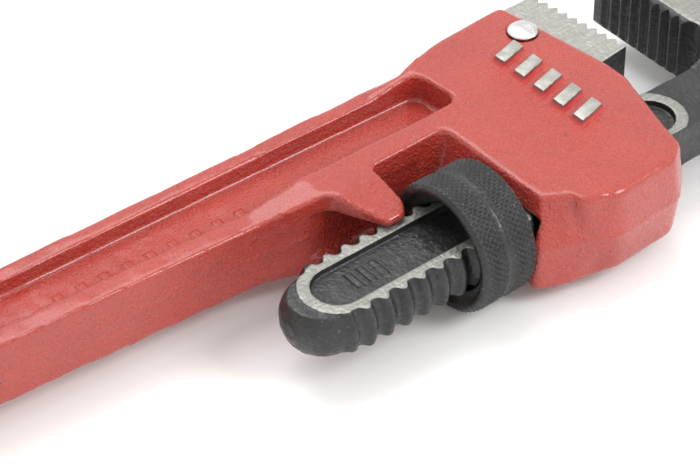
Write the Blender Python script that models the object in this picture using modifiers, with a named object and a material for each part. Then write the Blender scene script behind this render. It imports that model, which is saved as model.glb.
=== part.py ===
"""Adjustable pipe wrench, nominal 250 mm, lying on its side.

Working frame: X runs along the threaded shank towards the jaws, Y from the shank
towards the handle and the fixed heel jaw, Z up. The shank axis is the X axis, the
middle plane of the wrench is Z = 0 and the rear face of the adjusting nut is X = 0.
The parent empty then shifts the whole wrench so that it stands on Z = 0 with its
bounding box centred. All lengths below are in millimetres.
"""
import math

import bmesh
import bpy
from mathutils import Matrix

MM = 0.001
GAP = 0.3                       # clearance between touching pieces

# placing of the whole wrench
FRAME_SHIFT = (26.354, -13.291, 14.1)

# hook jaw: threaded shank
PITCH = 4.5
CREST_R = 10.1
ROOT_R = 8.7
HALF_CREST = 0.5
FLANK = 1.1
THREAD_PHASE = -22.2            # X of a crest on the +Y side
THREAD_X = (-30.0, 46.0)
THREAD_FADE = 2.5
NOSE_X = -37.6
NOSE_LENGTH = 9.0
NOSE_R = 8.3

# hook jaw: ground rims with a sunk panel between them
RIM_Z = 5.1                     # half thickness over the ground flats
RIM_X = (-25.4, 55.8)
RIM_R = 7.9
PANEL_R = 5.4
PANEL_Z = 3.6

# hook jaw: neck and head
NECK_Y = (-7.2, 6.65)
NECK_Z = 4.85
HEAD_Z = 8.0
HEAD_RAMP_AT = (76.0, 5.0)
HEAD_RAMP_ANGLE = 40
HOOK_TEETH = 9
HOOK_TOOTH_LEAN = 0.62
HOOK_TIP = ((80.9, 17.0), (80.3, 40.3))
TOOTH_DEPTH = 1.15
TOOTH_LAND = 0.24

# adjusting nut
NUT_R = 14.1
NUT_LENGTH = 13.2
NUT_BANDS = ((0.9, 5.6), (7.3, 12.7))
NUT_GROOVE_R = 13.7
COUNTERBORE_R = 12.1
COUNTERBORE_DEPTH = 1.6
THREAD_CLEARANCE = 0.4
FLANK_CLEARANCE = 0.3

# handle and housing
HANDLE_END_X = -151.5
HANDLE_FAR = ((-151.5, 45.1), (10.0, 40.2))
HANDLE_NEAR = ((-140.0, 27.6), (-25.0, 20.6))
HANDLE_Z = (6.8, 7.85)          # half thickness at the end and at the housing
WEB_Z = 4.0
RIM_FAR = 3.8
RIM_NEAR = 4.6
HOUSING_Z = 10.2
SHOULDER_Z = 9.8
HOUSING_CENTRE = (36.0, 8.0)    # the drafted walls lean towards this point
DRAFT = 1.3
CORNER_DRAFT = 5.0
WINDOW_X = (-1.2, 14.0)         # the nut's window at the parting plane
WINDOW_Y = 18.0
WINDOW_DRAFT = (0.6, 3.4, 1.3)  # rear, front and back walls open out by this at the faces
PASSAGE_Y = (-10.6, 13.4)
PASSAGE_Z = 5.6
FORK_Y = 19.0                   # bottom of the slot between the two fingers
HANG_HOLE_X = -142.5
HANG_HOLE_R = 4.6

# heel jaw: a toothed block on the sloping seat of the housing
SEAT = ((53.8, 41.8), (57.1, 14.4))
HEEL_TIP = ((66.2, 18.2), (63.1, 42.2))
HEEL_TEETH = 10
HEEL_TOOTH_LEAN = 0.43
HEEL_Y = (16.8, 43.4)
TONGUE_X = 43.0
TONGUE_Y = (24.0, 37.0)
TONGUE_Z = 4.0
PIN_AT = (50.5, 33.0)
PIN_R = 2.7
PIN_HEAD_R = 3.3
PIN_HEAD_HEIGHT = 0.7
SPOT_FACE_DEPTH = 0.25
SPOT_FACE_EDGE = 0.35

# springs in the shank passage
ROCK_AT = (18.6, 12.6)          # the jaw rocks about the riveted end of the flat spring
ROCKING = ("flat_spring", "coil_spring")
SPRING_THICK = 0.8
SPRING_HALF_WIDTH = 3.8
FLAT_SPRING_X = (16.9, 45.0)
COIL_X = 37.0
COIL_Y = (11.6, 23.3)
COIL_R = 3.4
COIL_WIRE_R = 0.55
COIL_TURNS = 5
POCKET_R = 4.6
POCKET_Y = 24.6
RIVET_R = 1.1
RIVET_HEAD_R = 2.0

COLOURS = {
    "cast_red_paint": ((0.52, 0.045, 0.035), 0.38, 0.0),
    "black_oxide": ((0.03, 0.031, 0.033), 0.42, 0.7),
    "ground_steel": ((0.56, 0.55, 0.52), 0.36, 1.0),
    "spring_steel": ((0.20, 0.20, 0.21), 0.35, 1.0),
}


# ---------------------------------------------------------------- helpers

def clear_scene():
    for item in list(bpy.data.objects):
        bpy.data.objects.remove(item, do_unlink=True)


def make_collection(name):
    group = bpy.data.collections.new(name)
    bpy.context.scene.collection.children.link(group)
    return group


def make_material(name):
    colour, roughness, metallic = COLOURS[name]
    material = bpy.data.materials.new(name)
    material.use_nodes = True
    shader = material.node_tree.nodes["Principled BSDF"]
    shader.inputs["Base Color"].default_value = (*colour, 1.0)
    shader.inputs["Roughness"].default_value = roughness
    shader.inputs["Metallic"].default_value = metallic
    return material


def add_mesh(name, mesh, group):
    item = bpy.data.objects.new(name, mesh)
    group.objects.link(item)
    return item


def scaled(outline):
    return [(x * MM, y * MM) for x, y in outline]


def rounded(corners, steps=4):
    """Outline through corners (x, y, radius), each corner turned as an arc."""
    outline = []
    count = len(corners)
    for i, (x, y, radius) in enumerate(corners):
        if radius == 0:
            outline.append((x, y))
            continue
        before = corners[i - 1]
        after = corners[(i + 1) % count]
        in_x, in_y = x - before[0], y - before[1]
        out_x, out_y = after[0] - x, after[1] - y
        in_length = math.hypot(in_x, in_y)
        out_length = math.hypot(out_x, out_y)
        in_x, in_y = in_x / in_length, in_y / in_length
        out_x, out_y = out_x / out_length, out_y / out_length
        turn = math.atan2(in_x * out_y - in_y * out_x, in_x * out_x + in_y * out_y)
        reach = radius * math.tan(abs(turn) / 2)
        side = 1 if turn > 0 else -1
        centre_x = x - in_x * reach - in_y * radius * side
        centre_y = y - in_y * reach + in_x * radius * side
        start = math.atan2(-in_x * side, in_y * side)
        for k in range(steps + 1):
            angle = start + turn * k / steps
            outline.append((centre_x + radius * math.cos(angle), centre_y + radius * math.sin(angle)))
    return outline


def plate(name, outline, half_thickness, group):
    """Flat outline in XY, extruded evenly to both sides of Z = 0, as a closed mesh."""
    curve = bpy.data.curves.new(name, "CURVE")
    curve.dimensions = "2D"
    curve.fill_mode = "BOTH"
    curve.extrude = half_thickness * MM
    spline = curve.splines.new("POLY")
    spline.points.add(len(outline) - 1)
    for point, (x, y) in zip(spline.points, scaled(outline)):
        point.co = (x, y, 0.0, 1.0)
    spline.use_cyclic_u = True
    return curve_to_mesh(name, curve, group)


def drafted_plate(name, outline, half_thickness, inset_above, inset_below, group):
    """Plate that is widest at the parting plane; the insets give each outer wall's draft."""
    middle_x, middle_y = HOUSING_CENTRE

    def drawn_in(x, y, inset):
        reach = math.hypot(middle_x - x, middle_y - y)
        share = inset(x, y) / reach
        open_x, open_y = window_drift(x, y)
        return x + (middle_x - x) * share + open_x, y + (middle_y - y) * share + open_y

    levels = (
        (-half_thickness, [drawn_in(x, y, inset_below) for x, y in outline]),
        (0.0, outline),
        (half_thickness, [drawn_in(x, y, inset_above) for x, y in outline]),
    )
    cage = bmesh.new()
    rings = [[cage.verts.new((x * MM, y * MM, z * MM)) for x, y in ring] for z, ring in levels]
    for lower, upper in zip(rings, rings[1:]):
        for k in range(len(outline)):
            following = (k + 1) % len(outline)
            cage.faces.new((lower[k], lower[following], upper[following], upper[k]))
    bmesh.ops.triangulate(cage, faces=cage.faces)
    for ring in (rings[0], rings[-1]):
        cage.faces.new(ring)
    bmesh.ops.recalc_face_normals(cage, faces=cage.faces)
    mesh = bpy.data.meshes.new(name)
    cage.to_mesh(mesh)
    cage.free()
    return add_mesh(name, mesh, group)


def ramp(value, low, high):
    """0 at low, 1 at high, straight between."""
    return min(max((value - low) / (high - low), 0.0), 1.0)


def wall_inset(x, y):
    return DRAFT * ramp(y, 10.0, 0.0) * ramp(x, 20.0, 28.0)


def window_drift(x, y):
    """How far the nut window's walls open out between the parting plane and the faces."""
    if not -3.0 < x < 20.0:
        return 0.0, 0.0
    front = WINDOW_DRAFT[1] * ramp(x, 6.0, 12.0) * ramp(y, -11.0, -3.0)
    rear = WINDOW_DRAFT[0] * ramp(x, 4.0, 0.5) * ramp(y, 7.0, 9.0)
    back = WINDOW_DRAFT[2] * ramp(y, 14.0, 17.5)
    return front - rear, back


def corner_inset(x, y):
    """The upper corner beside the nut is cut well back."""
    return CORNER_DRAFT * ramp(y, -3.0, -11.0) * ramp(x, 26.0, 18.0) + wall_inset(x, y)


def lower_corner_inset(x, y):
    """The lower corner stands out almost to the parting line."""
    return wall_inset(x, y)


def curve_to_mesh(name, curve, group):
    guide = bpy.data.objects.new(name + "_curve", curve)
    bpy.context.scene.collection.objects.link(guide)
    bpy.context.view_layer.update()
    evaluated = guide.evaluated_get(bpy.context.evaluated_depsgraph_get())
    mesh = bpy.data.meshes.new_from_object(evaluated)
    cage = bmesh.new()
    cage.from_mesh(mesh)
    bmesh.ops.remove_doubles(cage, verts=cage.verts, dist=0.00001)
    bmesh.ops.recalc_face_normals(cage, faces=cage.faces)
    cage.to_mesh(mesh)
    cage.free()
    bpy.data.objects.remove(guide, do_unlink=True)
    return add_mesh(name, mesh, group)


def box(name, x, y, z, group):
    """Box between two limits on each axis, from the cube primitive."""
    bpy.ops.mesh.primitive_cube_add(size=1.0)
    item = bpy.context.object
    size = [(high - low) * MM for low, high in (x, y, z)]
    centre = [(high + low) * MM / 2 for low, high in (x, y, z)]
    item.data.transform(Matrix.Translation(centre) @ Matrix.Diagonal((*size, 1.0)))
    return adopt(item, name, group)


def cylinder(name, centre, radius, length, group, axis="Z", sides=28):
    bpy.ops.mesh.primitive_cylinder_add(vertices=sides, radius=radius * MM, depth=length * MM)
    item = bpy.context.object
    if axis == "Y":
        item.data.transform(Matrix.Rotation(math.radians(90), 4, "X"))
    item.data.transform(Matrix.Translation([value * MM for value in centre]))
    return adopt(item, name, group)


def adopt(item, name, group):
    item.name = name
    item.data.name = name
    for owner in list(item.users_collection):
        owner.objects.unlink(item)
    group.objects.link(item)
    return item


def turned(name, profile, group, steps=32):
    """Body turned about the X axis from (x, radius) points listed from front to rear."""
    mesh = bpy.data.meshes.new(name)
    points = [(x * MM, 0.0, radius * MM) for x, radius in profile]
    edges = [(i, i + 1) for i in range(len(points) - 1)]
    mesh.from_pydata(points, edges, [])
    item = add_mesh(name, mesh, group)
    screw = item.modifiers.new("turn", "SCREW")
    screw.axis = "X"
    screw.steps = steps
    screw.render_steps = steps
    screw.use_merge_vertices = True
    screw.merge_threshold = 0.00001
    return item


def soften(item, width, segments=2):
    bevel = item.modifiers.new("soft_edges", "BEVEL")
    bevel.width = width * MM
    bevel.segments = segments
    bevel.limit_method = "ANGLE"
    bevel.angle_limit = math.radians(50)


def combine(item, tool, operation):
    boolean = item.modifiers.new(tool.name, "BOOLEAN")
    boolean.operation = operation
    boolean.object = tool
    boolean.solver = "EXACT"
    tool.hide_render = True
    tool.display_type = "WIRE"


def cut(item, tool):
    combine(item, tool, "DIFFERENCE")


def join(item, tool):
    combine(item, tool, "UNION")


def both_faces(tool):
    """Mirrors a cutter that works on the upper face so that it also works on the lower one."""
    mirror = tool.modifiers.new("both_faces", "MIRROR")
    mirror.use_axis = (False, False, True)
    mirror.merge_threshold = 0.00001
    return tool


def wedge(name, profile, across, group, axis):
    """Prism whose outline is (position, z), standing along X or Y, for both faces."""
    low, high = across
    tool = plate(name, profile, (high - low) / 2, group)
    upright = Matrix.Rotation(math.radians(90), 4, "X")
    middle = (low + high) / 2 * MM
    if axis == "X":
        tool.data.transform(Matrix.Translation((0, middle, 0)) @ upright)
    else:
        quarter = Matrix.Rotation(math.radians(90), 4, "Z")
        tool.data.transform(Matrix.Translation((middle, 0, 0)) @ quarter @ upright)
    return both_faces(tool)


def along(line, x):
    """Y of a straight line, given by two points, at a place along X."""
    (x0, y0), (x1, y1) = line
    return y0 + (y1 - y0) * (x - x0) / (x1 - x0)


def between(line, share):
    (x0, y0), (x1, y1) = line
    return x0 + (x1 - x0) * share, y0 + (y1 - y0) * share


def stadium(x_range, radius, steps=10):
    outline = []
    for centre, start in ((x_range[1], -90), (x_range[0], 90)):
        for k in range(steps + 1):
            angle = math.radians(start + 180 * k / steps)
            outline.append((centre + radius * math.cos(angle), radius * math.sin(angle)))
    return outline


def rim_relief(name, centre, side, level, group):
    """Cutter that lowers the flat outside the round end of a ground rim."""
    far = centre + side * 60
    arc = []
    for k in range(13):
        angle = math.radians(-90 + 180 * k / 12)
        arc.append((centre + side * RIM_R * math.cos(angle), RIM_R * math.sin(angle)))
    outline = [(centre, -20), *arc, (centre, 20), (far, 20), (far, -20)]
    tool = plate(name, outline, 2.0, group)
    tool.data.transform(Matrix.Translation((0, 0, level * (NECK_Z + 2.0) * MM)))
    return tool


def tooth_row(tips, count, side, lean):
    """Saw teeth along a line of tips; side is +1 when the roots lie towards +X.

    Each root lies at the share lean of a step behind its tip, so 0.5 gives even teeth.
    """
    step = (tips[1][1] - tips[0][1]) / (count - 1)
    points = []
    for k in range(count):
        tip_x, tip_y = between(tips, k / (count - 1))
        points.append((tip_x + side * TOOTH_DEPTH, tip_y - step * (1 - lean)))
        points.append((tip_x, tip_y - TOOTH_LAND / 2))
        points.append((tip_x, tip_y + TOOTH_LAND / 2))
    return points


# ---------------------------------------------------------------- threads

def thread_radius(x, angle, crest, root, half_crest):
    turn = (x - THREAD_PHASE) / PITCH - angle / (2 * math.pi)
    off_crest = abs(turn - round(turn)) * PITCH
    share = min(max((off_crest - half_crest) / FLANK, 0.0), 1.0)
    return crest - (crest - root) * share


def shank_radius(x, angle):
    """Radius of the shank: rounded nose, fading thread ends, full thread between."""
    inside = min(x - THREAD_X[0], THREAD_X[1] - x)
    strength = min(max(inside / THREAD_FADE, 0.0), 1.0)
    full = thread_radius(x, angle, CREST_R, ROOT_R, HALF_CREST)
    base = NOSE_R if x < 0 else ROOT_R - 1.0
    radius = base + (full - base) * strength
    along_nose = (x - NOSE_X) / NOSE_LENGTH
    if along_nose < 1:
        radius *= math.sqrt(max(1 - (1 - along_nose) ** 2.4, 0.0))
    return radius


def cutter_radius(x, angle):
    return thread_radius(
        x, angle, CREST_R + THREAD_CLEARANCE, ROOT_R + THREAD_CLEARANCE, HALF_CREST + FLANK_CLEARANCE
    )


def ruled_rod(name, stations, angles, radius_at, group):
    """Closed rod along X whose radius is a function of place and angle."""
    cage = bmesh.new()
    rings = []
    for x in stations:
        ring = []
        for angle in angles:
            radius = radius_at(x, angle)
            ring.append(cage.verts.new((x * MM, radius * math.cos(angle) * MM, radius * math.sin(angle) * MM)))
        rings.append(ring)
    count = len(angles)
    for lower, upper in zip(rings, rings[1:]):
        for k in range(count):
            following = (k + 1) % count
            cage.faces.new((lower[k], lower[following], upper[following], upper[k]))
    for ring in (rings[0], rings[-1]):
        cage.faces.new(ring)
    bmesh.ops.recalc_face_normals(cage, faces=cage.faces)
    bmesh.ops.triangulate(cage, faces=cage.faces)
    mesh = bpy.data.meshes.new(name)
    cage.to_mesh(mesh)
    cage.free()
    return add_mesh(name, mesh, group)


def spaced(low, high, step):
    count = max(1, math.ceil((high - low) / step))
    return [low + (high - low) * k / count for k in range(count + 1)]


# ---------------------------------------------------------------- pieces

def make_handle_body(parts, tools):
    """Cast handle in one piece with the housing that carries the jaws and the nut."""
    end_far = along(HANDLE_FAR, HANDLE_END_X)
    end_near = along(HANDLE_NEAR, HANDLE_END_X)
    beam_outline = rounded([
        (30.0, 40.0, 0),
        (HANDLE_END_X + 30, along(HANDLE_FAR, HANDLE_END_X + 30), 12),
        (HANDLE_END_X + 14, end_far + 0.8, 8),
        (HANDLE_END_X, end_far - 0.8, 9),
        (HANDLE_END_X, end_near - 0.6, 9),
        (HANDLE_END_X + 14, end_near - 1.2, 8),
        (HANDLE_END_X + 30, along(HANDLE_NEAR, HANDLE_END_X + 30), 12),
        (-22.0, along(HANDLE_NEAR, -22.0), 0),
        (-18.0, 21.5, 0),
        (30.0, 21.5, 0),
    ])
    body = plate("handle_body", beam_outline, 1.0, parts)
    for vertex in body.data.vertices:
        share = (vertex.co.x / MM - HANDLE_END_X) / (-20.0 - HANDLE_END_X)
        half = HANDLE_Z[0] + (HANDLE_Z[1] - HANDLE_Z[0]) * share
        vertex.co.z *= half
    soften(body, 1.8)

    shoulder_outline = rounded([
        (28.0, 25.8, 0),
        (-34.0, 27.5, 0),
        (-34.0, along(HANDLE_NEAR, -34.0) + 0.7, 0),
        (-24.0, along(HANDLE_NEAR, -24.0) - 0.5, 6),
        (-13.4, 17.8, 3.0),
        (-10.3, 11.0, 2),
        (-7.8, 6.3, 1.5),
        (-3.6, 6.3, 1.5),
        (WINDOW_X[0], 9.2, 2),
        (WINDOW_X[0], WINDOW_Y, 1.2),
        (WINDOW_X[1], WINDOW_Y, 2.0),
        (WINDOW_X[1], -3.0, 0),
        (WINDOW_X[1], -9.5, 0),
        (WINDOW_X[1] + 0.1, -12.8, 1.4),
        (20.0, -15.2, 3.0),
        (28.0, -18.0, 0),
    ])
    shoulder = drafted_plate("shoulder", shoulder_outline, SHOULDER_Z, corner_inset, lower_corner_inset, tools)
    soften(shoulder, 1.2)
    cut(shoulder, wedge("shoulder_ramp", [(-40, 7.0), (-31, 7.3), (-14, SHOULDER_Z + 0.05), (-14, 14), (-40, 14)],
                        (10, 32), tools, "X"))
    cut(shoulder, wedge("finger_slope", [(0, 6.2), (4.5, 6.7), (17.0, SHOULDER_Z + 0.05), (17.0, 14), (0, 14)],
                        (-20, -0.6), tools, "Y"))
    join(body, shoulder)

    housing_outline = rounded([
        (6.0, 38.4, 0),
        (22.0, 38.8, 0),
        (28.0, 40.9, 0),
        (35.0, 42.3, 0),
        (SEAT[0][0] - 0.6, 43.3, 2.0),
        (*SEAT[1], 0),
        (57.4, 8.6, 4.0),
        (52.9, -9.5, 5.0),
        (51.3, -15.0, 3.0),
        (47.0, -18.5, 4.0),
        (30.0, -19.4, 8.0),
        (22.5, -15.6, 4.0),
        (22.0, -6.0, 0),
        (25.5, 26.5, 0),
        (6.0, 26.5, 0),
    ])
    housing = drafted_plate("housing", housing_outline, HOUSING_Z, wall_inset, wall_inset, tools)
    soften(housing, 1.6)
    cut(housing, wedge("housing_ramp", [(0, 7.0), (7.5, 7.3), (26.5, HOUSING_Z + 0.05), (26.5, 14), (0, 14)],
                       (22, 50), tools, "X"))
    join(body, housing)

    web_outline = rounded([
        (-126.0, along(HANDLE_FAR, -126.0) - RIM_FAR, 4.0),
        (-126.0, along(HANDLE_NEAR, -126.0) + RIM_NEAR, 4.0),
        (-30.0, along(HANDLE_NEAR, -30.0) + RIM_NEAR + 0.4, 20.0),
        (25.4, 24.4, 2.5),
        (24.2, 36.4, 3.0),
    ])
    for side, name in ((1, "web_top"), (-1, "web_bottom")):
        web = plate(name, web_outline, 5.0, tools)
        web.data.transform(Matrix.Translation((0, 0, side * (WEB_Z + 5.0) * MM)))
        cut(body, web)

    cut(body, cylinder("spring_pocket", (COIL_X, (PASSAGE_Y[1] + POCKET_Y) / 2 - 1.0, 0), POCKET_R,
                       POCKET_Y - PASSAGE_Y[1] + 2.0, tools, "Y", 20))
    cut(body, cylinder("rivet_hole", (ROCK_AT[0] + 1.0, 17.0, 0), RIVET_R + GAP, 10.0, tools, "Y", 12))
    cut(body, box("fork_slot", (-60, 10), (-40, FORK_Y), (-PASSAGE_Z, PASSAGE_Z), tools))
    cut(body, box("shank_passage", (5, 70), PASSAGE_Y, (-PASSAGE_Z, PASSAGE_Z), tools))
    cut(body, box("tongue_slot", (TONGUE_X - GAP, 70), (TONGUE_Y[0] - GAP, TONGUE_Y[1] + GAP),
                  (-TONGUE_Z - GAP, TONGUE_Z + GAP), tools))
    cut(body, cylinder("pin_hole", (*PIN_AT, 0), PIN_R + GAP, 40, tools))
    for side, name in ((1, "spot_face_top"), (-1, "spot_face_bottom")):
        middle = side * (HOUSING_Z - SPOT_FACE_DEPTH + 2.0)
        cut(body, cylinder(name, (*PIN_AT, middle), PIN_HEAD_R + SPOT_FACE_EDGE, 4.0, tools))
    hang_y = (end_far + end_near) / 2 - 0.4
    hang_hole = plate("hang_hole", [(x + HANG_HOLE_X, y + hang_y) for x, y in stadium((-2.0, 2.0), HANG_HOLE_R, 8)],
                      20, tools)
    cut(body, hang_hole)
    return body


def make_heel_jaw(parts, tools):
    """Toothed block on the housing's sloping seat, held by a tongue and a pin."""
    seat_low = SEAT[1][0] + (SEAT[1][1] - HEEL_Y[0]) * 0.12 + GAP
    seat_high = SEAT[0][0] - (HEEL_Y[1] - SEAT[0][1]) * 0.12 + GAP
    teeth = tooth_row(HEEL_TIP, HEEL_TEETH, -1, HEEL_TOOTH_LEAN)
    teeth[0] = (HEEL_TIP[0][0] - 0.4, HEEL_Y[0] + 0.9)
    outline = [(seat_low, HEEL_Y[0]), *teeth, (HEEL_TIP[1][0] - 1.0, HEEL_Y[1]), (seat_high, HEEL_Y[1])]
    jaw = plate("heel_jaw", outline, HEAD_Z, parts)
    tongue = box("heel_tongue", (TONGUE_X, 60.0), TONGUE_Y, (-TONGUE_Z, TONGUE_Z), tools)
    join(jaw, tongue)
    cut(jaw, cylinder("tongue_hole", (*PIN_AT, 0), PIN_R + GAP, 30, tools))
    return jaw


def make_heel_jaw_pin(parts):
    """Rivet through the housing and the heel jaw's tongue, with a domed head on each side."""
    face = HOUSING_Z - SPOT_FACE_DEPTH + GAP
    dome = []
    for k in range(4):
        angle = math.radians(90 * k / 4)
        dome.append((face + 0.3 + PIN_HEAD_HEIGHT * math.cos(angle), PIN_HEAD_R * math.sin(angle)))
    upper = [*dome, (face + 0.3, PIN_HEAD_R), (face, PIN_HEAD_R), (face, PIN_R)]
    lower = [(-x, radius) for x, radius in reversed(upper)]
    pin = turned("heel_jaw_pin", upper + lower, parts, 22)
    pin.rotation_euler = (0, math.radians(-90), 0)
    pin.location = (PIN_AT[0] * MM, PIN_AT[1] * MM, 0)
    return pin


def make_hook_jaw(parts, tools):
    """Forged jaw: rounded nose, threaded flat shank with sunk panels, neck and toothed head."""
    fan = [math.radians(-36 + 12 * k) for k in range(7)]
    sweep = [math.radians(angle) for angle in (64, 90, 116)]
    angles = fan + sweep + [angle + math.pi for angle in fan + sweep]
    nose = spaced(NOSE_X + 0.15, THREAD_X[0], 0.9)
    stations = nose[:-1] + spaced(THREAD_X[0], THREAD_X[1], PITCH / 6)
    jaw = ruled_rod("hook_jaw", stations, angles, shank_radius, parts)
    flats = box("shank_flats", (NOSE_X - 5, THREAD_X[1] + 5), (-20, 20), (-RIM_Z, RIM_Z), tools)
    combine(jaw, flats, "INTERSECT")

    neck = plate("neck", rounded([
        (38.0, NECK_Y[0], 0),
        (80.0, NECK_Y[0], 6),
        (92.0, 10.0, 0),
        (80.0, NECK_Y[1] + 2, 0),
        (74.0, NECK_Y[1], 3),
        (38.0, NECK_Y[1], 0),
    ]), RIM_Z - 0.02, tools)
    soften(neck, 0.8, 1)
    join(jaw, neck)
    for level, name in ((1, "relief_top"), (-1, "relief_bottom")):
        for end, side in ((RIM_X[0], -1), (RIM_X[1], 1)):
            cut(jaw, rim_relief(f"{name}_{'nose' if side < 0 else 'neck'}", end, side, level, tools))

    outer_x, outer_y = HOOK_TIP[1]
    head_outline = rounded([
        (72.0, NECK_Y[1], 1),
        (78.0, NECK_Y[1] + 0.6, 4),
        (HOOK_TIP[0][0] + 2.2, 13.5, 3),
        *[(x, y, 0) for x, y in tooth_row(HOOK_TIP, HOOK_TEETH, 1, HOOK_TOOTH_LEAN)],
        (outer_x, outer_y + 2.2, 0),
        (outer_x + 0.4, outer_y + 2.6, 0),
        (outer_x + 14.5, outer_y + 1.6, 4),
        (99.0, 24.0, 14),
        (96.0, 4.0, 12),
        (82.0, NECK_Y[0] - 1.4, 10),
        (72.0, NECK_Y[0], 0),
    ])
    head = plate("hook_head", head_outline, HEAD_Z, tools)
    slope = wedge("head_ramp", [(-20, NECK_Z - 0.1), (-1, NECK_Z - 0.1), (11, HEAD_Z + 0.05), (11, 14), (-20, 14)],
                  (-40, 40), tools, "X")
    slope.location = (HEAD_RAMP_AT[0] * MM, HEAD_RAMP_AT[1] * MM, 0)
    slope.rotation_euler = (0, 0, math.radians(HEAD_RAMP_ANGLE))
    cut(head, slope)
    join(jaw, head)

    for side, name in ((1, "panel_top"), (-1, "panel_bottom")):
        panel = plate(name, stadium(RIM_X, PANEL_R), 2.0, tools)
        panel.data.transform(Matrix.Translation((0, 0, side * (PANEL_Z + 2.0) * MM)))
        cut(jaw, panel)
    return jaw


def make_adjusting_nut(parts, tools):
    """Round nut with two grip bands, a counterbored rear face and a full internal thread."""
    front, rear = NUT_BANDS[1], NUT_BANDS[0]
    profile = [
        (NUT_LENGTH, 6.0),
        (NUT_LENGTH, NUT_R - 0.8),
        (front[1], NUT_R),
        (front[0], NUT_R),
        (front[0] - 0.5, NUT_GROOVE_R),
        (rear[1] + 0.5, NUT_GROOVE_R),
        (rear[1], NUT_R),
        (rear[0], NUT_R),
        (0.0, NUT_R - 1.1),
        (0.0, COUNTERBORE_R),
        (COUNTERBORE_DEPTH, COUNTERBORE_R - 1.2),
        (COUNTERBORE_DEPTH, 6.0),
        (NUT_LENGTH, 6.0),
    ]
    nut = turned("adjusting_nut", profile, parts, 40)
    angles = [2 * math.pi * k / 30 for k in range(30)]
    stations = spaced(-3.0, NUT_LENGTH + 3.0, PITCH / 8)
    cut(nut, ruled_rod("nut_thread", stations, angles, cutter_radius, tools))
    return nut


def make_coil_spring(parts):
    """Compression spring that pushes the flat spring against the shank."""
    curve = bpy.data.curves.new("coil_spring", "CURVE")
    curve.dimensions = "3D"
    curve.bevel_depth = COIL_WIRE_R * MM
    curve.bevel_resolution = 2
    curve.use_fill_caps = True
    spline = curve.splines.new("POLY")
    per_turn = 14
    count = COIL_TURNS * per_turn + 1
    spline.points.add(count - 1)
    low, high = COIL_Y[0] + COIL_WIRE_R, COIL_Y[1] - COIL_WIRE_R
    for k, point in enumerate(spline.points):
        angle = 2 * math.pi * k / per_turn
        y = low + (high - low) * k / (count - 1)
        x = COIL_X + COIL_R * math.cos(angle)
        point.co = (x * MM, y * MM, COIL_R * math.sin(angle) * MM, 1.0)
    return curve_to_mesh("coil_spring", curve, parts)


def make_flat_spring(parts, tools):
    """Leaf spring: riveted rear tab, slope down to the shank and an upturned tip."""
    rear, front = FLAT_SPRING_X
    tab_y = ROCK_AT[1] - SPRING_THICK / 2
    shank_y = CREST_R + GAP + 0.05
    lower = [(rear, tab_y), (rear + 6.5, tab_y), (rear + 11, shank_y), (front - 3, shank_y), (front, shank_y + 0.4)]
    upper = [(x, y + SPRING_THICK) for x, y in reversed(lower)]
    spring = plate("flat_spring", lower + upper, SPRING_HALF_WIDTH, parts)
    cut(spring, cylinder("spring_hole", (ROCK_AT[0] + 1.0, ROCK_AT[1], 0), RIVET_R + GAP, 6, tools, "Y", 12))
    return spring


def make_spring_rivet(parts):
    """Rivet that holds the rear tab of the flat spring to the housing."""
    tab_low = ROCK_AT[1] - SPRING_THICK / 2
    head_top = tab_low - GAP
    rivet = turned("spring_rivet", [
        (20.5, 0.0),
        (20.5, RIVET_R),
        (head_top, RIVET_R),
        (head_top, RIVET_HEAD_R),
        (head_top - 0.5, RIVET_HEAD_R - 0.1),
        (head_top - 0.9, RIVET_HEAD_R - 0.8),
        (head_top - 0.9, 0.0),
    ], parts, 16)
    rivet.rotation_euler = (0, 0, math.radians(90))
    rivet.location = ((ROCK_AT[0] + 1.0) * MM, 0, 0)
    return rivet


# ---------------------------------------------------------------- assembly

def move_origin(item, point):
    """Puts an object's origin on its joint axis without moving its shape."""
    offset = [value * MM for value in point]
    item.data.transform(Matrix.Translation([-value for value in offset]))
    item.location = offset


def finish(item, material, parent):
    item.data.materials.clear()
    item.data.materials.append(material)
    item.data.shade_smooth()
    item.data.set_sharp_from_angle(angle=math.radians(35))
    item.parent = parent


def main():
    clear_scene()
    parts = make_collection("pipe_wrench")
    tools = make_collection("cutters")
    materials = {name: make_material(name) for name in COLOURS}
    frame = bpy.data.objects.new("wrench_frame", None)
    parts.objects.link(frame)
    frame.location = [value * MM for value in FRAME_SHIFT]

    made = [
        (make_handle_body(parts, tools), "cast_red_paint"),
        (make_heel_jaw(parts, tools), "ground_steel"),
        (make_heel_jaw_pin(parts), "ground_steel"),
        (make_hook_jaw(parts, tools), "black_oxide"),
        (make_adjusting_nut(parts, tools), "black_oxide"),
        (make_coil_spring(parts), "spring_steel"),
        (make_flat_spring(parts, tools), "spring_steel"),
        (make_spring_rivet(parts), "ground_steel"),
    ]
    for item, material in made:
        if item.name in ROCKING:
            move_origin(item, (*ROCK_AT, 0.0))
        finish(item, materials[material], frame)
    for item in tools.objects:
        item.parent = frame


main()
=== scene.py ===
"""Looks of the pipe wrench: red cast paint, black oxide, ground steel, a knurled nut and studio light."""

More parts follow.
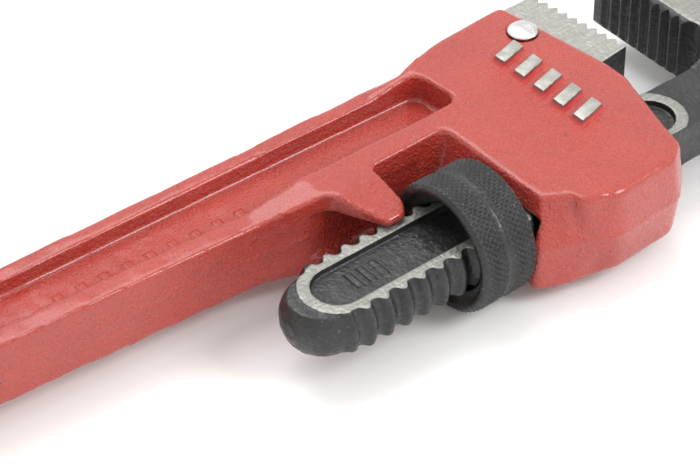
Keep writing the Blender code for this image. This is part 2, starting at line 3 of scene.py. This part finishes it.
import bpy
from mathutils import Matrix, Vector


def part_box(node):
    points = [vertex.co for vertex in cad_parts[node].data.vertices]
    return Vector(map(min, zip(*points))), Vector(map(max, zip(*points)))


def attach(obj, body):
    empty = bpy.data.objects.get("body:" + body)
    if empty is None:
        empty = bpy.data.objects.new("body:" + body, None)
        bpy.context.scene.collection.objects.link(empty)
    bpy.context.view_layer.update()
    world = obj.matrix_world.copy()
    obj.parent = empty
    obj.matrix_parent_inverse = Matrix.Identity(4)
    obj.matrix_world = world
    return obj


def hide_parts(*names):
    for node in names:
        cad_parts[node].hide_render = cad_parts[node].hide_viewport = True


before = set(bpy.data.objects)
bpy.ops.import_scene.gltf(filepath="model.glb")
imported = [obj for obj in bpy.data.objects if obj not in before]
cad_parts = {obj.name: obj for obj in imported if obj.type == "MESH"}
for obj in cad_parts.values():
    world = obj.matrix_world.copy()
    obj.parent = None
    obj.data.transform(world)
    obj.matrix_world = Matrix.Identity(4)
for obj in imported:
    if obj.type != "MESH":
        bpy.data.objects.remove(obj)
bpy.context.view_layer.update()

import math

import bmesh
import bpy
from mathutils import Vector, noise

MM = 0.001

# The shank frame: X = 0 at the nut's rear face, Y = 0 and Z = 0 on the shank's axis.
nut_low, nut_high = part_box("adjusting_nut")
SHANK = Vector((nut_low.x, (nut_low.y + nut_high.y) / 2, (nut_low.z + nut_high.z) / 2))
MIDDLE_Z = SHANK.z
NUT_LENGTH = (nut_high.x - nut_low.x) / MM
NUT_R = (nut_high.z - nut_low.z) / 2 / MM

# nut, in millimetres
KNURL_BANDS = ((0.9, 5.6), (7.3, NUT_LENGTH - 0.5))
KNURL_COUNT = 62                # diamonds round the nut
KNURL_DEPTH = 0.58
KNURL_SLOPE = 1.25              # above 1 the diamonds have small flat tops
KNURL_STEP = 0.17
GROOVE_R = NUT_R - 0.4
GROOVE_RAMP = 0.5
REAR_CHAMFER = 1.1
FRONT_CHAMFER = 0.8
COUNTERBORE_R = 12.1
COUNTERBORE_DEPTH = 1.6
THREAD_PITCH = 4.5
THREAD_PHASE = -22.2
THREAD_CREST_R = 10.5
THREAD_ROOT_R = 9.1
THREAD_FLANK = (0.8, 1.9)       # the flank runs between these distances from a crest's middle
THREAD_STEP = 0.3
NUT_STEPS = 496

# skins of the castings and forgings, in millimetres
CAST_VOXEL = 0.55
CAST_ROUNDS = 5
CAST_WAVES = (7.0, 0.10)        # size and depth
FORGED_VOXEL = 0.28
FORGED_ROUNDS = 1
FORGED_WAVES = (3.0, 0.05)
PIN_VOXEL = 0.14
PIN_ROUNDS = 4
PIN_WAVES = (1.4, 0.12)
FLAT_MARGIN = 0.12              # skin this near a ground flat stays plane
PARTING_HEIGHT = 0.28
PARTING_WIDTH = 0.45

# shoulder beside the nut's window, which rises to the housing
SHOULDER_LIFT = 0.3
SHOULDER_LIFT_FROM = 7.8
SHOULDER_LIFT_FULL = 9.7
SHOULDER_BLEND_X = (8.0, 21.0)
SHOULDER_END_X = 28.0

# heights of the ground flats over the middle plane
RIM_Z = 5.1
JAW_Z = 8.0
RIM_END_X = 64.0                # no ground rim past here
TOOTH_TIPS_X = 80.6             # line of the hook jaw's tooth tips
TOOTH_SHOULDER = 2.6

# softened edges of the CAD nodes that are shown as they are
BLOCK_EDGE = 0.12
RIVET_EDGE = 0.1
WIRE_EDGE = 0.05

# raised marks cast on the housing, the web and in the shank's recess
HOUSING_TOP = 10.2
HOUSING_MARK = 1.35             # height of the marks on the housing
WEB_TOP = 4.0
RECESS_TOP = 3.6
MARK_SINK = 0.4                 # a mark starts this far inside its face
MARK_FLARE = 0.6
MARK_EDGE = 0.22

# rows of marks: first centre, step, count, size, height and slant
HOUSING_BARS = ((42.2, 4.2, HOUSING_TOP), (0.15, 6.1, 0.0), 5, (6.6, 2.9), HOUSING_MARK, 0.25)
WEB_BARS = ((-68.0, 30.2, WEB_TOP), (5.2, -0.25, 0.0), 9, (1.5, 4.2), 0.35, 0.0)
RECESS_BARS = ((-21.4, 0.2, RECESS_TOP), (3.0, 0.0, 0.0), 3, (1.2, 4.4), 0.55, 0.0)
RECESS_DOTS = ((-5.0, -1.6, RECESS_TOP), (1.2, 2.6, 0.0), 2, (1.1, 1.1), 0.4, 0.0)

# colours
RED_DARK = (0.365, 0.024, 0.012)
RED_LIGHT = (0.42, 0.030, 0.015)
RED_SPECK = (0.50, 0.045, 0.028)
RED_PIT = (0.13, 0.010, 0.010)
# painted light on the raised marks' sides: a lit red at the foot that turns to painted shade higher up the
# side walls
MARK_FOOT_LIT = (0.56, 0.030, 0.024)
MARK_SIDE_SHADE = (0.16, 0.035, 0.03)
MARK_DARK = (0.34, 0.335, 0.30)
MARK_LIGHT = (0.48, 0.475, 0.44)
BLACK_DARK = (0.010, 0.011, 0.011)
BLACK_LIGHT = (0.024, 0.025, 0.024)
BLACK_SPECK = (0.11, 0.11, 0.107)
GROUND_DARK = (0.30, 0.297, 0.270)
GROUND_LIGHT = (0.42, 0.416, 0.385)
HOOK_SHADE = 0.8                # the hook jaw's flats are duller than the heel jaw's
PIN_DARK = (0.62, 0.62, 0.61)
PIN_LIGHT = (0.80, 0.80, 0.79)
SPRING_DARK = (0.22, 0.22, 0.23)
SPRING_LIGHT = (0.34, 0.34, 0.35)
FLOOR_DARK = (0.90, 0.90, 0.89)
FLOOR_LIGHT = (0.92, 0.92, 0.91)

# stage: floor in metres, lights as direction, distance, size and power
FLOOR_SIZE = 6.0
FLOOR_DROP = 0.0002
WORLD_STRENGTH = 1.0
KEY_LIGHT = ((0.47, -0.65, 0.75), 1.2, 0.5, 7)
TOP_LIGHT = ((0.1, 0.5, 1.0), 1.3, 1.0, 9)

# camera: where it looks, from how far, and from which side
TARGET = (-10.5, 14.9, 0.0)
DISTANCE = 0.5498
AZIMUTH = 38.7
ELEVATION = 40.74
ROLL = -0.42
LENS = 143.84


def at(x, y, z):
    """Row-frame place of a point of the shank frame, in millimetres."""
    return SHANK + Vector((x, y, z)) * MM


def show(name, mesh):
    piece = bpy.data.objects.new(name, mesh)
    bpy.context.scene.collection.objects.link(piece)
    return piece


# ---------------------------------------------------------------- mesh work

def copy_of(node, name):
    """The CAD node's mesh as a new piece, with its split edges welded."""
    piece = show(name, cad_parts[node].data.copy())
    cage = bmesh.new()
    cage.from_mesh(piece.data)
    bmesh.ops.remove_doubles(cage, verts=cage.verts, dist=1e-6)
    cage.to_mesh(piece.data)
    cage.free()
    piece.data.materials.clear()
    return piece


def apply_modifiers(piece):
    shaped = piece.evaluated_get(bpy.context.evaluated_depsgraph_get())
    mesh = bpy.data.meshes.new_from_object(shaped)
    piece.modifiers.clear()
    piece.data = mesh


def recast(piece, voxel, rounds):
    """Rebuilds a faceted solid as an even skin with soft edges, like a casting or a forging."""
    remesh = piece.modifiers.new("skin", "REMESH")
    remesh.mode = "VOXEL"
    remesh.voxel_size = voxel * MM
    smooth = piece.modifiers.new("soft", "SMOOTH")
    smooth.factor = 0.5
    smooth.iterations = rounds
    apply_modifiers(piece)
    piece.data.shade_smooth()


def unevenness(point, size, depth):
    """Slow waves of a cast or forged surface, as a height in metres."""
    where = point / (size * MM)
    return depth * MM * (noise.noise(where) + 0.5 * noise.noise(where * 2.3))


def roughen(piece, size, depth, keep_flat=()):
    """Moves the skin along its normals; heights in keep_flat are machined and stay plane."""
    mesh = piece.data
    normals = [vertex.normal.copy() for vertex in mesh.vertices]
    for vertex, normal in zip(mesh.vertices, normals):
        height = abs(vertex.co.z - MIDDLE_Z) / MM
        if any(abs(height - level) < FLAT_MARGIN for level in keep_flat):
            continue
        vertex.co += normal * unevenness(vertex.co, size, depth)


def raise_parting_line(piece):
    """Thin ridge round the casting's side walls where the two mould halves met."""
    mesh = piece.data
    normals = [vertex.normal.copy() for vertex in mesh.vertices]
    for vertex, normal in zip(mesh.vertices, normals):
        off = (vertex.co.z - MIDDLE_Z) / (PARTING_WIDTH * MM)
        if abs(normal.z) < 0.4 and abs(off) < 3:
            uneven = 0.6 + 0.8 * noise.noise(vertex.co / (4 * MM))
            vertex.co += normal * PARTING_HEIGHT * MM * uneven * math.exp(-off * off)


def blend_shoulder(piece):
    """Lifts the shoulder gently towards the housing, so that only a faint crease is left between them."""
    for vertex in piece.data.vertices:
        place = (vertex.co - SHANK) / MM
        height = abs(place.z)
        share = ramp(place.x, *SHOULDER_BLEND_X) * ramp(height, SHOULDER_LIFT_FROM, SHOULDER_LIFT_FULL)
        lift = SHOULDER_LIFT * share
        if lift > 0 and place.x < SHOULDER_END_X:
            vertex.co.z = MIDDLE_Z + math.copysign(max(height, min(height + lift, HOUSING_TOP)), place.z) * MM


def round_tooth_tops(jaw):
    """Draws the hook jaw's side faces in over its teeth, so that each tooth ends in a rounded shoulder."""
    tips = TOOTH_TIPS_X
    for vertex in jaw.data.vertices:
        place = (vertex.co - SHANK) / MM
        into = (place.x - tips) / TOOTH_SHOULDER
        if place.y < 12 or not -0.2 < into < 1:
            continue
        limit = JAW_Z - TOOTH_SHOULDER * 0.8 * (1 - math.sqrt(1 - (1 - max(into, 0.0)) ** 2))
        if abs(place.z) > limit:
            vertex.co.z = MIDDLE_Z + math.copysign(limit, place.z) * MM


def round_edges(piece, width, segments=2, angle=30):
    weld = piece.modifiers.new("weld", "WELD")
    weld.merge_threshold = 1e-6
    bevel = piece.modifiers.new("edges", "BEVEL")
    bevel.width = width * MM
    bevel.segments = segments
    bevel.limit_method = "ANGLE"
    bevel.angle_limit = math.radians(angle)
    bevel.harden_normals = True


def spaced(low, high, step):
    count = max(1, math.ceil((high - low) / step))
    return [low + (high - low) * k / count for k in range(count + 1)]


def ramp(value, low, high):
    return min(max((value - low) / (high - low), 0.0), 1.0)


# ---------------------------------------------------------------- nut

def knurl_height(x, turn):
    """Diamond pyramids cut by two sets of crossing grooves, 0 in a groove and 1 on a crest."""
    pitch = 2 * math.pi * NUT_R / KNURL_COUNT
    around = turn * KNURL_COUNT
    crossings = (around + x / pitch, around - x / pitch)
    return min(1.0, KNURL_SLOPE * min(abs(((value + 0.5) % 1.0) - 0.5) * 2 for value in crossings))


def outer_radius(x, turn):
    radius = NUT_R
    low, high = KNURL_BANDS[0][1], KNURL_BANDS[1][0]
    groove = ramp(x, low, low + GROOVE_RAMP) * ramp(-x, -high, -high + GROOVE_RAMP)
    radius -= (NUT_R - GROOVE_R) * groove
    radius -= REAR_CHAMFER * ramp(-x, -KNURL_BANDS[0][0], 0.0)
    radius -= FRONT_CHAMFER * ramp(x, KNURL_BANDS[1][1], NUT_LENGTH)
    for start, end in KNURL_BANDS:
        share = ramp(x, start - 0.3, start + 0.2) * ramp(-x, -end - 0.3, -end + 0.2)
        radius -= KNURL_DEPTH * share * (1 - knurl_height(x, turn))
    return radius


def thread_radius(x, turn):
    """Bore of the nut: a right-hand thread that the shank's thread turns in."""
    along = (x - THREAD_PHASE) / THREAD_PITCH - turn
    off_crest = abs(along - round(along)) * THREAD_PITCH
    return THREAD_CREST_R - (THREAD_CREST_R - THREAD_ROOT_R) * ramp(off_crest, *THREAD_FLANK)


def nut_section(turn):
    """The nut's closed section at one angle, as (x, radius) points."""
    section = [(x, outer_radius(x, turn)) for x in spaced(0.0, NUT_LENGTH, KNURL_STEP)]
    front_r = section[-1][1]
    bore_r = thread_radius(NUT_LENGTH, turn)
    section += [(NUT_LENGTH, front_r + (bore_r + 0.3 - front_r) * k / 4) for k in (1, 2, 3, 4)]
    deep = NUT_LENGTH - 0.3
    bore = reversed(spaced(COUNTERBORE_DEPTH + 0.1, deep, THREAD_STEP))
    section += [(x, thread_radius(x, turn)) for x in bore]
    seat_r = COUNTERBORE_R - 1.0
    first_r = section[-1][1]
    section += [(COUNTERBORE_DEPTH, first_r + (seat_r - first_r) * k / 3) for k in (1, 2, 3)]
    section += [(COUNTERBORE_DEPTH * 0.8, seat_r + 0.35)]
    section += [(0.3, COUNTERBORE_R - 0.1), (0.0, COUNTERBORE_R + 0.25)]
    return section


def make_nut():
    cage = bmesh.new()
    rings = []
    for k in range(NUT_STEPS):
        turn = k / NUT_STEPS
        angle = 2 * math.pi * turn
        ring = []
        for x, radius in nut_section(turn):
            ring.append(cage.verts.new(at(x, radius * math.cos(angle), radius * math.sin(angle))))
        rings.append(ring)
    count = len(rings[0])
    for k in range(NUT_STEPS):
        this, following = rings[k], rings[(k + 1) % NUT_STEPS]
        for i in range(count):
            j = (i + 1) % count
            cage.faces.new((this[i], this[j], following[j], following[i]))
    bmesh.ops.recalc_face_normals(cage, faces=cage.faces)
    mesh = bpy.data.meshes.new("knurled_nut")
    cage.to_mesh(mesh)
    cage.free()
    mesh.shade_smooth()
    return show("knurled_nut", mesh)


# ---------------------------------------------------------------- raised marks

def raised_bar(name, centre, size, height, slant):
    """Low bar with drafted sides and softened edges; centre is on the face it stands on."""
    half_length, half_width = size[0] / 2, size[1] / 2
    top = [(x * half_length, y * half_width) for x, y in ((-1, -1), (1, -1), (1, 1), (-1, 1))]
    levels = (
        (-MARK_SINK, MARK_FLARE + 0.25),
        (0.0, MARK_FLARE),
        (height * 0.35, MARK_FLARE * 0.35),
        (height, 0.0),
    )
    cage = bmesh.new()
    rings = []
    for z, spread in levels:
        ring = []
        for x, y in top:
            out_x = x + math.copysign(spread, x)
            out_y = y + math.copysign(spread, y) + slant * x
            ring.append(cage.verts.new(at(centre[0] + out_x, centre[1] + out_y, centre[2] + z)))
        rings.append(ring)
    for lower, upper in zip(rings, rings[1:]):
        for i in range(4):
            j = (i + 1) % 4
            cage.faces.new((lower[i], lower[j], upper[j], upper[i]))
    cage.faces.new(rings[0])
    cage.faces.new(rings[-1])
    bmesh.ops.recalc_face_normals(cage, faces=cage.faces)
    mesh = bpy.data.meshes.new(name)
    cage.to_mesh(mesh)
    cage.free()
    piece = show(name, mesh)
    bevel = piece.modifiers.new("edges", "BEVEL")
    bevel.width = MARK_EDGE * MM
    bevel.segments = 3
    apply_modifiers(piece)
    piece.data.shade_smooth()
    return piece


def row_of_bars(name, start, step, count, size, height, slant, material, body, slot):
    for k in range(count):
        centre = [low + gap * k for low, gap in zip(start, step)]
        bar = raised_bar(f"{name}_{k + 1}", centre, size, height, slant)
        bar.data.materials.append(material)
        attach(bar, body)


# ---------------------------------------------------------------- materials

class Shading:
    """A Principled material and short ways to add the nodes that drive it."""

    def __init__(self, name, roughness, metallic, coat=0.0, coat_roughness=0.1):
        self.material = bpy.data.materials.new(name)
        self.material.use_nodes = True
        self.nodes = self.material.node_tree.nodes
        self.links = self.material.node_tree.links
        self.shader = self.nodes["Principled BSDF"]
        self.shader.inputs["Roughness"].default_value = roughness
        self.shader.inputs["Metallic"].default_value = metallic
        self.shader.inputs["Coat Weight"].default_value = coat
        self.shader.inputs["Coat Roughness"].default_value = coat_roughness
        self.place = self.nodes.new("ShaderNodeTexCoord").outputs["Object"]

    def drive(self, socket, value):
        self.links.new(value, self.shader.inputs[socket])

    def grain(self, scale, detail=2.0, stretch=(1, 1, 1)):
        mapping = self.nodes.new("ShaderNodeMapping")
        mapping.inputs["Scale"].default_value = stretch
        self.links.new(self.place, mapping.inputs["Vector"])
        texture = self.nodes.new("ShaderNodeTexNoise")
        texture.inputs["Scale"].default_value = scale
        texture.inputs["Detail"].default_value = detail
        self.links.new(mapping.outputs["Vector"], texture.inputs["Vector"])
        return texture.outputs["Fac"]

    def levels(self, value, low, high, to_low=0.0, to_high=1.0, smooth=False):
        node = self.nodes.new("ShaderNodeMapRange")
        if smooth:
            node.interpolation_type = "SMOOTHSTEP"
        sockets = {"From Min": low, "From Max": high, "To Min": to_low, "To Max": to_high}
        for socket, number in sockets.items():
            node.inputs[socket].default_value = number
        self.links.new(value, node.inputs["Value"])
        return node.outputs["Result"]

    def maths(self, operation, first, second):
        node = self.nodes.new("ShaderNodeMath")
        node.operation = operation
        for socket, value in zip(node.inputs, (first, second)):
            if isinstance(value, (int, float)):
                socket.default_value = value
            else:
                self.links.new(value, socket)
        return node.outputs["Value"]

    def mixed(self, share, first, second):
        node = self.nodes.new("ShaderNodeMix")
        node.data_type = "RGBA"
        self.links.new(share, node.inputs["Factor"])
        for socket, value in (("A", first), ("B", second)):
            target = next(item for item in node.inputs if item.name == socket and item.type == "RGBA")
            if isinstance(value, tuple):
                target.default_value = (*value, 1.0)
            else:
                self.links.new(value, target)
        return next(item for item in node.outputs if item.type == "RGBA")

    def bump(self, height, distance, strength=1.0, below=None):
        node = self.nodes.new("ShaderNodeBump")
        node.inputs["Distance"].default_value = distance * MM
        node.inputs["Strength"].default_value = strength
        self.links.new(height, node.inputs["Height"])
        if below is not None:
            self.links.new(below, node.inputs["Normal"])
        return node.outputs["Normal"]

    def height_over_middle(self):
        split = self.nodes.new("ShaderNodeSeparateXYZ")
        self.links.new(self.place, split.inputs["Vector"])
        height = self.maths("ABSOLUTE", self.maths("SUBTRACT", split.outputs["Z"], MIDDLE_Z), 0.0)
        return split.outputs["X"], self.maths("MULTIPLY", height, 1 / MM)


def red_paint():
    """Glossy red paint over a cast surface: orange peel, slow colour drift and a few dark pits."""
    paint = Shading("red_paint_look", 0.34, 0.0, 0.75, 0.16)
    drift = paint.levels(paint.grain(70, 3), 0.35, 0.65)
    colour = paint.mixed(drift, RED_DARK, RED_LIGHT)
    speckle = paint.levels(paint.grain(2400, 2), 0.35, 0.65)
    colour = paint.mixed(paint.maths("MULTIPLY", speckle, 0.35), colour, RED_SPECK)
    pits = paint.levels(paint.grain(420, 4), 0.70, 0.76, 0.0, 0.7, True)
    paint.drive("Base Color", paint.mixed(pits, colour, RED_PIT))
    paint.drive("Roughness", paint.levels(paint.grain(900), 0.3, 0.7, 0.22, 0.46))
    fine = paint.bump(paint.grain(2600, 2), 0.20, 1.0)
    peel = paint.bump(paint.grain(1300, 3), 0.50, 1.0, fine)
    waves = paint.bump(paint.grain(420, 2), 0.22, 0.7, peel)
    paint.drive("Normal", waves)
    return paint.material


def steel(name, flats=(), rim_end=None, shade=1.0):
    """Black oxide, with bright ground flats at the given heights over the middle plane."""
    look = Shading(name, 0.42, 0.0)
    blotch = look.levels(look.grain(160, 4), 0.35, 0.7)
    black = look.mixed(blotch, BLACK_DARK, BLACK_LIGHT)
    specks = look.levels(look.grain(1700, 3), 0.64, 0.76, 0.0, 0.8, True)
    black = look.mixed(specks, black, BLACK_SPECK)
    rough = look.levels(look.grain(700, 3), 0.3, 0.7, 0.24, 0.55)
    forged = look.bump(look.grain(1200, 3), 0.20, 0.9)
    coarse = look.bump(look.grain(300, 2), 0.18, 0.7, forged)
    if not flats:
        look.drive("Base Color", black)
        look.drive("Roughness", rough)
        look.drive("Normal", coarse)
        return look.material

    along, height = look.height_over_middle()
    wear = look.levels(look.grain(1100, 2), 0.3, 0.7, -0.02, 0.02)
    worn_height = look.maths("ADD", height, wear)
    masks = []
    for level in flats:
        mask = look.levels(worn_height, level - 0.13, level - 0.08, 0.0, 1.0, True)
        if level < max(flats):
            below = look.levels(height, level + 0.1, level + 0.15, 1.0, 0.0)
            before = look.levels(along, rim_end, rim_end + 0.5 * MM, 1.0, 0.0)
            mask = look.maths("MULTIPLY", look.maths("MULTIPLY", mask, below), before)
        masks.append(mask)
    ground = masks[0]
    for mask in masks[1:]:
        ground = look.maths("MAXIMUM", ground, mask)
    lines = look.grain(1.0, 3, (140, 2300, 2300))
    darker = tuple(part * shade for part in GROUND_DARK)
    lighter = tuple(part * shade for part in GROUND_LIGHT)
    bright = look.mixed(look.levels(lines, 0.3, 0.7), darker, lighter)
    look.drive("Base Color", look.mixed(ground, black, bright))
    look.drive("Metallic", look.maths("MULTIPLY", ground, 0.75))
    ground_rough = look.maths("MULTIPLY", ground, 0.1)
    look.drive("Roughness", look.maths("ADD", rough, ground_rough))
    scratches = look.bump(lines, 0.02, 0.5, coarse)
    look.drive("Normal", scratches)
    return look.material


def bright_steel(name):
    look = Shading(name, 0.28, 1.0)
    tone = look.levels(look.grain(350, 3), 0.3, 0.7)
    look.drive("Base Color", look.mixed(tone, PIN_DARK, PIN_LIGHT))
    look.drive("Roughness", look.levels(look.grain(800, 3), 0.3, 0.7, 0.22, 0.42))
    look.drive("Normal", look.bump(look.grain(500, 3), 0.12, 0.6))
    return look.material


def spring_steel():
    look = Shading("spring_look", 0.3, 1.0)
    tone = look.levels(look.grain(500, 3), 0.3, 0.7)
    look.drive("Base Color", look.mixed(tone, SPRING_DARK, SPRING_LIGHT))
    look.drive("Normal", look.bump(look.grain(1.0, 2, (300, 2500, 300)), 0.02, 0.4))
    return look.material


def topped_paint():
    """Red paint with its top ground bright, for the raised marks on the housing."""
    look = Shading("ground_mark_look", 0.4, 0.0, 0.3, 0.2)
    height = look.height_over_middle()[1]
    wear = look.levels(look.grain(900, 3), 0.3, 0.7, -0.12, 0.12)
    mark_top = HOUSING_TOP + HOUSING_MARK
    top = look.levels(look.maths("ADD", height, wear), mark_top - 0.22, mark_top - 0.1, 0.0, 1.0, True)
    # painted shade: the mark's side walls go from a lit red at the foot to a shaded dark red higher up
    side = look.levels(height, HOUSING_TOP + 0.1, HOUSING_TOP + 0.9)
    paint = look.mixed(side, MARK_FOOT_LIT, MARK_SIDE_SHADE)
    tone = look.mixed(look.levels(look.grain(600, 3), 0.3, 0.7), MARK_DARK, MARK_LIGHT)
    look.drive("Base Color", look.mixed(top, paint, tone))
    look.drive("Metallic", look.maths("MULTIPLY", top, 0.7))
    look.drive("Roughness", look.levels(look.grain(800), 0.3, 0.7, 0.3, 0.5))
    look.drive("Normal", look.bump(look.grain(1200, 2), 0.1, 0.8))
    return look.material


# ---------------------------------------------------------------- pieces

def make_body(paint):
    body = copy_of("handle_body", "cast_body")
    recast(body, CAST_VOXEL, CAST_ROUNDS)
    blend_shoulder(body)
    raise_parting_line(body)
    roughen(body, *CAST_WAVES)
    body.data.materials.append(paint)
    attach(body, "handle")
    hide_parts("handle_body")


def make_hook_jaw():
    jaw = copy_of("hook_jaw", "forged_hook_jaw")
    recast(jaw, FORGED_VOXEL, FORGED_ROUNDS)
    round_tooth_tops(jaw)
    roughen(jaw, *FORGED_WAVES, (RIM_Z, JAW_Z))
    jaw.data.materials.append(steel("hook_jaw_look", (RIM_Z, JAW_Z), at(RIM_END_X, 0, 0).x, HOOK_SHADE))
    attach(jaw, "jaw")
    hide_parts("hook_jaw")


def make_knurled_nut():
    nut = make_nut()
    nut.data.materials.append(steel("nut_look"))
    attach(nut, "nut")
    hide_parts("adjusting_nut")


def make_heel_pin():
    pin = copy_of("heel_jaw_pin", "peened_pin")
    recast(pin, PIN_VOXEL, PIN_ROUNDS)
    roughen(pin, *PIN_WAVES)
    pin.data.materials.append(bright_steel("pin_look"))
    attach(pin, "handle")
    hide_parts("heel_jaw_pin")


def dress(node, material, width):
    """Gives a carried-over CAD node its material and softened edges."""
    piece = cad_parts[node]
    piece.data.materials.clear()
    piece.data.materials.append(material)
    round_edges(piece, width)


def make_marks(paint):
    """Plain slanted bars where a maker's raised marks would be."""
    row_of_bars("housing_bar", *HOUSING_BARS, topped_paint(), "handle", "cast_red_paint")
    row_of_bars("web_bar", *WEB_BARS, paint, "handle", "cast_red_paint")
    oxide = steel("recess_mark_look")
    row_of_bars("recess_bar", *RECESS_BARS, oxide, "jaw", "black_oxide")
    row_of_bars("recess_dot", *RECESS_DOTS, oxide, "jaw", "black_oxide")


# ---------------------------------------------------------------- stage

def make_floor():
    bpy.ops.mesh.primitive_plane_add(size=FLOOR_SIZE, location=(0, 0, -FLOOR_DROP))
    floor = bpy.context.object
    floor.name = "floor"
    look = Shading("floor_look", 0.9, 0.0)
    tone = look.levels(look.grain(3, 1), 0.3, 0.7)
    look.drive("Base Color", look.mixed(tone, FLOOR_DARK, FLOOR_LIGHT))
    floor.data.materials.append(look.material)


def softbox(name, direction, distance, size, power):
    light = bpy.data.lights.new(name, "AREA")
    light.shape = "DISK"
    light.size = size
    light.energy = power
    lamp = bpy.data.objects.new(name, light)
    bpy.context.scene.collection.objects.link(lamp)
    towards = Vector(direction).normalized()
    lamp.location = towards * distance
    lamp.rotation_euler = towards.to_track_quat("Z", "Y").to_euler()


def light_scene():
    world = bpy.data.worlds.new("studio")
    world.use_nodes = True
    world.node_tree.nodes["Background"].inputs["Color"].default_value = (1.0, 1.0, 1.0, 1.0)
    world.node_tree.nodes["Background"].inputs["Strength"].default_value = WORLD_STRENGTH
    bpy.context.scene.world = world
    softbox("key", *KEY_LIGHT)
    softbox("top", *TOP_LIGHT)
    bpy.context.scene.view_settings.view_transform = "Standard"


def make_camera():
    data = bpy.data.cameras.new("camera")
    data.lens = LENS
    camera = bpy.data.objects.new("camera", data)
    bpy.context.scene.collection.objects.link(camera)
    azimuth, elevation = math.radians(AZIMUTH), math.radians(ELEVATION)
    forward = Vector((
        math.sin(azimuth) * math.cos(elevation), math.cos(azimuth) * math.cos(elevation), -math.sin(elevation)
    ))
    camera.location = at(*TARGET) - forward * DISTANCE
    camera.rotation_euler = forward.to_track_quat("-Z", "Y").to_euler()
    camera.rotation_euler.rotate_axis("Z", math.radians(ROLL))
    data.clip_start = 0.01
    bpy.context.scene.camera = camera


paint = red_paint()
make_body(paint)
make_hook_jaw()
make_knurled_nut()
make_heel_pin()
make_marks(paint)
dress("heel_jaw", steel("heel_jaw_look", (JAW_Z,)), BLOCK_EDGE)
dress("coil_spring", spring_steel(), WIRE_EDGE)
dress("flat_spring", spring_steel(), BLOCK_EDGE)
dress("spring_rivet", bright_steel("rivet_look"), RIVET_EDGE)
make_floor()
light_scene()
make_camera()
